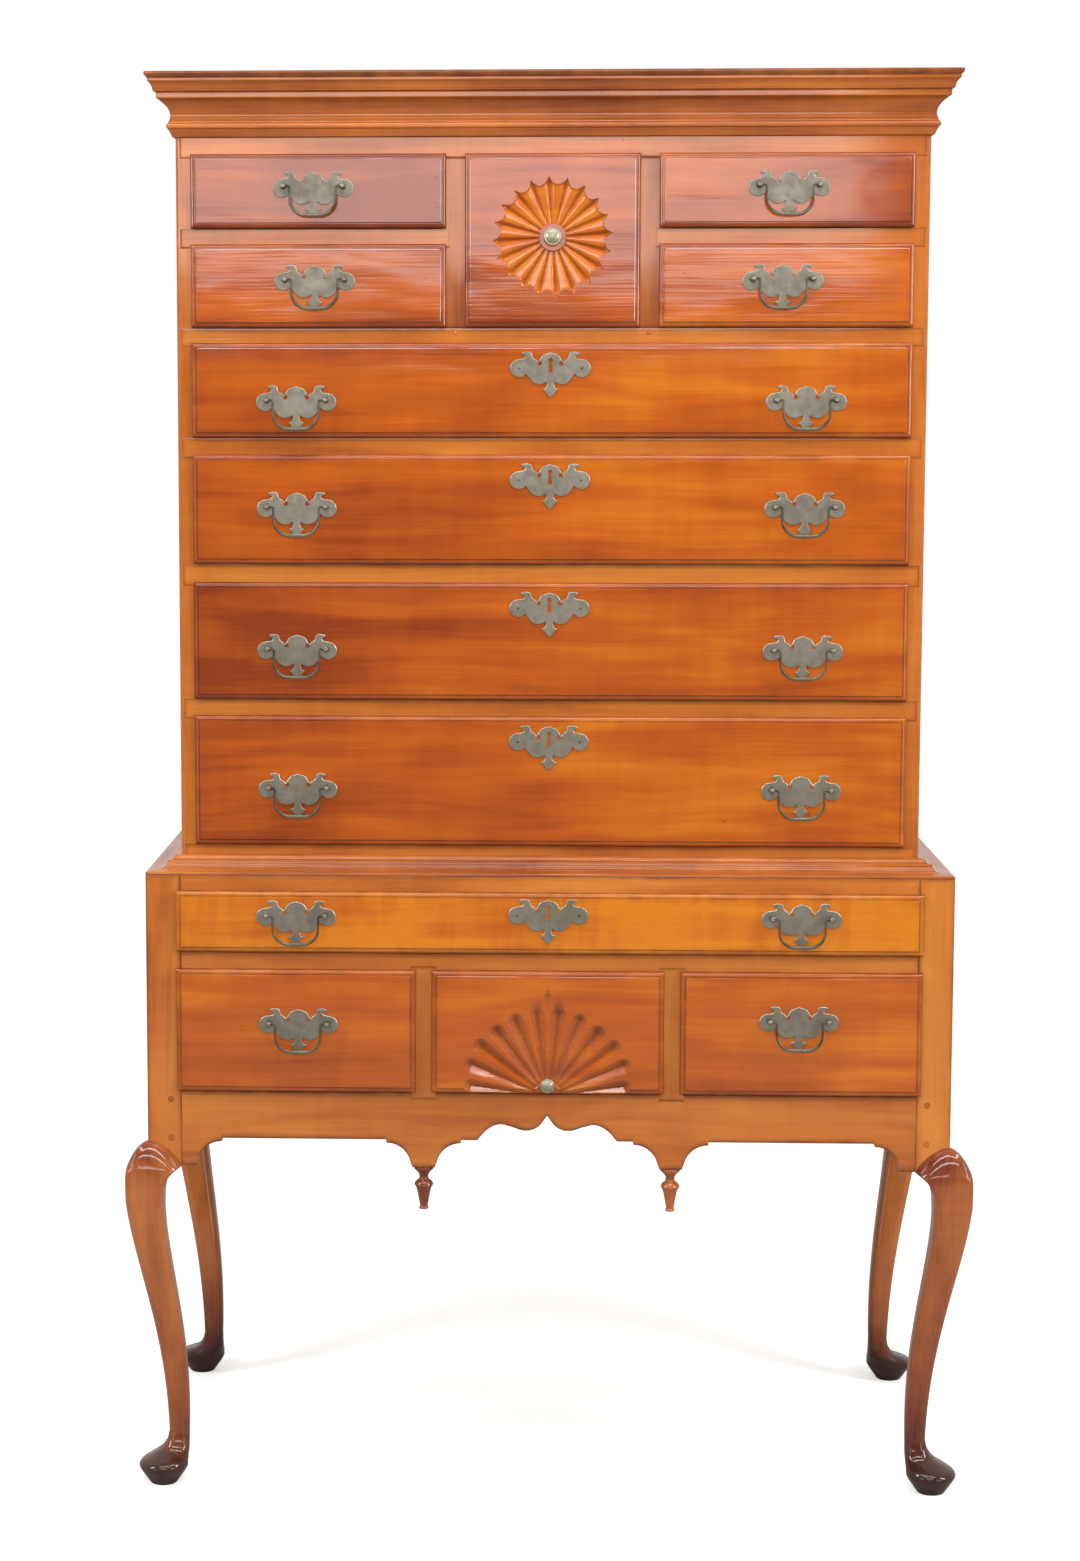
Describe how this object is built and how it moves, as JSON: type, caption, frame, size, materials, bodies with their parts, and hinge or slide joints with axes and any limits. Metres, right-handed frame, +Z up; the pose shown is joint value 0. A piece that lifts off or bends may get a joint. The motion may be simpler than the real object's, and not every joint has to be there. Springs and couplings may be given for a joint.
{
  "type": "high chest of drawers",
  "caption": "Flat-topped maple high chest on cabriole legs, with sliding lipped drawers, a carved pinwheel and fan, and hinged brass bails.",
  "frame": {"origin": "on the floor, below the middle of the box round the chest, which is the middle of the lower case", "axes": "+X to the right as seen from the front, +Y to the back, +Z up"},
  "size_m": [1.0168, 0.5088, 1.7025],
  "materials": {
    "case_maple": "varnished maple, amber",
    "drawer_maple": "varnished maple, honey",
    "inner_pine": "planed pine, dry",
    "brass": "cast, aged"
  },
  "bodies": {
    "carcass": {"front_left_leg": "case_maple", "front_right_leg": "case_maple", "back_left_leg": "case_maple", "back_right_leg": "case_maple", "front_skirt": "case_maple", "skirt_drops": "case_maple", "lower_sides": "case_maple", "lower_back": "inner_pine", "lower_front_rails": "case_maple", "lower_drawer_runners": "inner_pine", "upper_sides": "case_maple", "case_boards": "inner_pine", "upper_back_boards": "inner_pine", "upper_front_rails": "case_maple", "joint_pegs": "case_maple", "upper_drawer_runners": "inner_pine", "cornice_moulding": "case_maple", "waist_moulding": "case_maple"},
    "top_left": {"top_left_drawer": "drawer_maple", "top_left_brass": "brass"},
    "top_left_bail": {"top_left_bail": "brass"},
    "top_right": {"top_right_drawer": "drawer_maple", "top_right_brass": "brass"},
    "top_right_bail": {"top_right_bail": "brass"},
    "second_left": {"second_left_drawer": "drawer_maple", "second_left_brass": "brass"},
    "second_left_bail": {"second_left_bail": "brass"},
    "second_right": {"second_right_drawer": "drawer_maple", "second_right_brass": "brass"},
    "second_right_bail": {"second_right_bail": "brass"},
    "pinwheel": {"pinwheel_drawer": "drawer_maple", "pinwheel_brass": "brass"},
    "first_long": {"first_long_drawer": "drawer_maple", "first_long_brass": "brass"},
    "first_long_bail_left": {"first_long_bail_left": "brass"},
    "first_long_bail_right": {"first_long_bail_right": "brass"},
    "second_long": {"second_long_drawer": "drawer_maple", "second_long_brass": "brass"},
    "second_long_bail_left": {"second_long_bail_left": "brass"},
    "second_long_bail_right": {"second_long_bail_right": "brass"},
    "third_long": {"third_long_drawer": "drawer_maple", "third_long_brass": "brass"},
    "third_long_bail_left": {"third_long_bail_left": "brass"},
    "third_long_bail_right": {"third_long_bail_right": "brass"},
    "fourth_long": {"fourth_long_drawer": "drawer_maple", "fourth_long_brass": "brass"},
    "fourth_long_bail_left": {"fourth_long_bail_left": "brass"},
    "fourth_long_bail_right": {"fourth_long_bail_right": "brass"},
    "lower_long": {"lower_long_drawer": "drawer_maple", "lower_long_brass": "brass"},
    "lower_long_bail_left": {"lower_long_bail_left": "brass"},
    "lower_long_bail_right": {"lower_long_bail_right": "brass"},
    "lower_left": {"lower_left_drawer": "drawer_maple", "lower_left_brass": "brass"},
    "lower_left_bail": {"lower_left_bail": "brass"},
    "lower_right": {"lower_right_drawer": "drawer_maple", "lower_right_brass": "brass"},
    "lower_right_bail": {"lower_right_bail": "brass"},
    "fan": {"fan_drawer": "drawer_maple", "fan_brass": "brass"}
  },
  "joints": [
    {"name": "top_left_slide", "type": "slide", "parent": "carcass", "child": "top_left", "axis": [0, -1, 0], "range_m": [0, 0.3]},
    {"name": "top_left_bail_hinge", "type": "hinge", "parent": "top_left", "child": "top_left_bail", "pos_m": [-0.28, -0.2105, 1.571], "axis": [-1, 0, 0], "range_deg": [0, 110]},
    {"name": "top_right_slide", "type": "slide", "parent": "carcass", "child": "top_right", "axis": [0, -1, 0], "range_m": [0, 0.3]},
    {"name": "top_right_bail_hinge", "type": "hinge", "parent": "top_right", "child": "top_right_bail", "pos_m": [0.27795, -0.2105, 1.571], "axis": [-1, 0, 0], "range_deg": [0, 110]},
    {"name": "second_left_slide", "type": "slide", "parent": "carcass", "child": "second_left", "axis": [0, -1, 0], "range_m": [0, 0.3]},
    {"name": "second_left_bail_hinge", "type": "hinge", "parent": "second_left", "child": "second_left_bail", "pos_m": [-0.2784, -0.2105, 1.4625], "axis": [-1, 0, 0], "range_deg": [0, 110]},
    {"name": "second_right_slide", "type": "slide", "parent": "carcass", "child": "second_right", "axis": [0, -1, 0], "range_m": [0, 0.3]},
    {"name": "second_right_bail_hinge", "type": "hinge", "parent": "second_right", "child": "second_right_bail", "pos_m": [0.27165, -0.2105, 1.4625], "axis": [-1, 0, 0], "range_deg": [0, 110]},
    {"name": "pinwheel_slide", "type": "slide", "parent": "carcass", "child": "pinwheel", "axis": [0, -1, 0], "range_m": [0, 0.3]},
    {"name": "first_long_slide", "type": "slide", "parent": "carcass", "child": "first_long", "axis": [0, -1, 0], "range_m": [0, 0.3]},
    {"name": "first_long_bail_left_hinge", "type": "hinge", "parent": "first_long", "child": "first_long_bail_left", "pos_m": [-0.301, -0.2105, 1.3212], "axis": [-1, 0, 0], "range_deg": [0, 110]},
    {"name": "first_long_bail_right_hinge", "type": "hinge", "parent": "first_long", "child": "first_long_bail_right", "pos_m": [0.301, -0.2105, 1.3212], "axis": [-1, 0, 0], "range_deg": [0, 110]},
    {"name": "second_long_slide", "type": "slide", "parent": "carcass", "child": "second_long", "axis": [0, -1, 0], "range_m": [0, 0.3]},
    {"name": "second_long_bail_left_hinge", "type": "hinge", "parent": "second_long", "child": "second_long_bail_left", "pos_m": [-0.301, -0.2105, 1.1955], "axis": [-1, 0, 0], "range_deg": [0, 110]},
    {"name": "second_long_bail_right_hinge", "type": "hinge", "parent": "second_long", "child": "second_long_bail_right", "pos_m": [0.301, -0.2105, 1.1955], "axis": [-1, 0, 0], "range_deg": [0, 110]},
    {"name": "third_long_slide", "type": "slide", "parent": "carcass", "child": "third_long", "axis": [0, -1, 0], "range_m": [0, 0.3]},
    {"name": "third_long_bail_left_hinge", "type": "hinge", "parent": "third_long", "child": "third_long_bail_left", "pos_m": [-0.301, -0.2105, 1.0262], "axis": [-1, 0, 0], "range_deg": [0, 110]},
    {"name": "third_long_bail_right_hinge", "type": "hinge", "parent": "third_long", "child": "third_long_bail_right", "pos_m": [0.301, -0.2105, 1.0262], "axis": [-1, 0, 0], "range_deg": [0, 110]},
    {"name": "fourth_long_slide", "type": "slide", "parent": "carcass", "child": "fourth_long", "axis": [0, -1, 0], "range_m": [0, 0.3]},
    {"name": "fourth_long_bail_left_hinge", "type": "hinge", "parent": "fourth_long", "child": "fourth_long_bail_left", "pos_m": [-0.301, -0.2105, 0.8588], "axis": [-1, 0, 0], "range_deg": [0, 110]},
    {"name": "fourth_long_bail_right_hinge", "type": "hinge", "parent": "fourth_long", "child": "fourth_long_bail_right", "pos_m": [0.301, -0.2105, 0.8588], "axis": [-1, 0, 0], "range_deg": [0, 110]},
    {"name": "lower_long_slide", "type": "slide", "parent": "carcass", "child": "lower_long", "axis": [0, -1, 0], "range_m": [0, 0.33]},
    {"name": "lower_long_bail_left_hinge", "type": "hinge", "parent": "lower_long", "child": "lower_long_bail_left", "pos_m": [-0.301, -0.2485, 0.71], "axis": [-1, 0, 0], "range_deg": [0, 110]},
    {"name": "lower_long_bail_right_hinge", "type": "hinge", "parent": "lower_long", "child": "lower_long_bail_right", "pos_m": [0.301, -0.2485, 0.71], "axis": [-1, 0, 0], "range_deg": [0, 110]},
    {"name": "lower_left_slide", "type": "slide", "parent": "carcass", "child": "lower_left", "axis": [0, -1, 0], "range_m": [0, 0.33]},
    {"name": "lower_left_bail_hinge", "type": "hinge", "parent": "lower_left", "child": "lower_left_bail", "pos_m": [-0.29873, -0.2485, 0.5792], "axis": [-1, 0, 0], "range_deg": [0, 110]},
    {"name": "lower_right_slide", "type": "slide", "parent": "carcass", "child": "lower_right", "axis": [0, -1, 0], "range_m": [0, 0.33]},
    {"name": "lower_right_bail_hinge", "type": "hinge", "parent": "lower_right", "child": "lower_right_bail", "pos_m": [0.29942, -0.2485, 0.586], "axis": [-1, 0, 0], "range_deg": [0, 110]},
    {"name": "fan_slide", "type": "slide", "parent": "carcass", "child": "fan", "axis": [0, -1, 0], "range_m": [0, 0.33]}
  ]
}
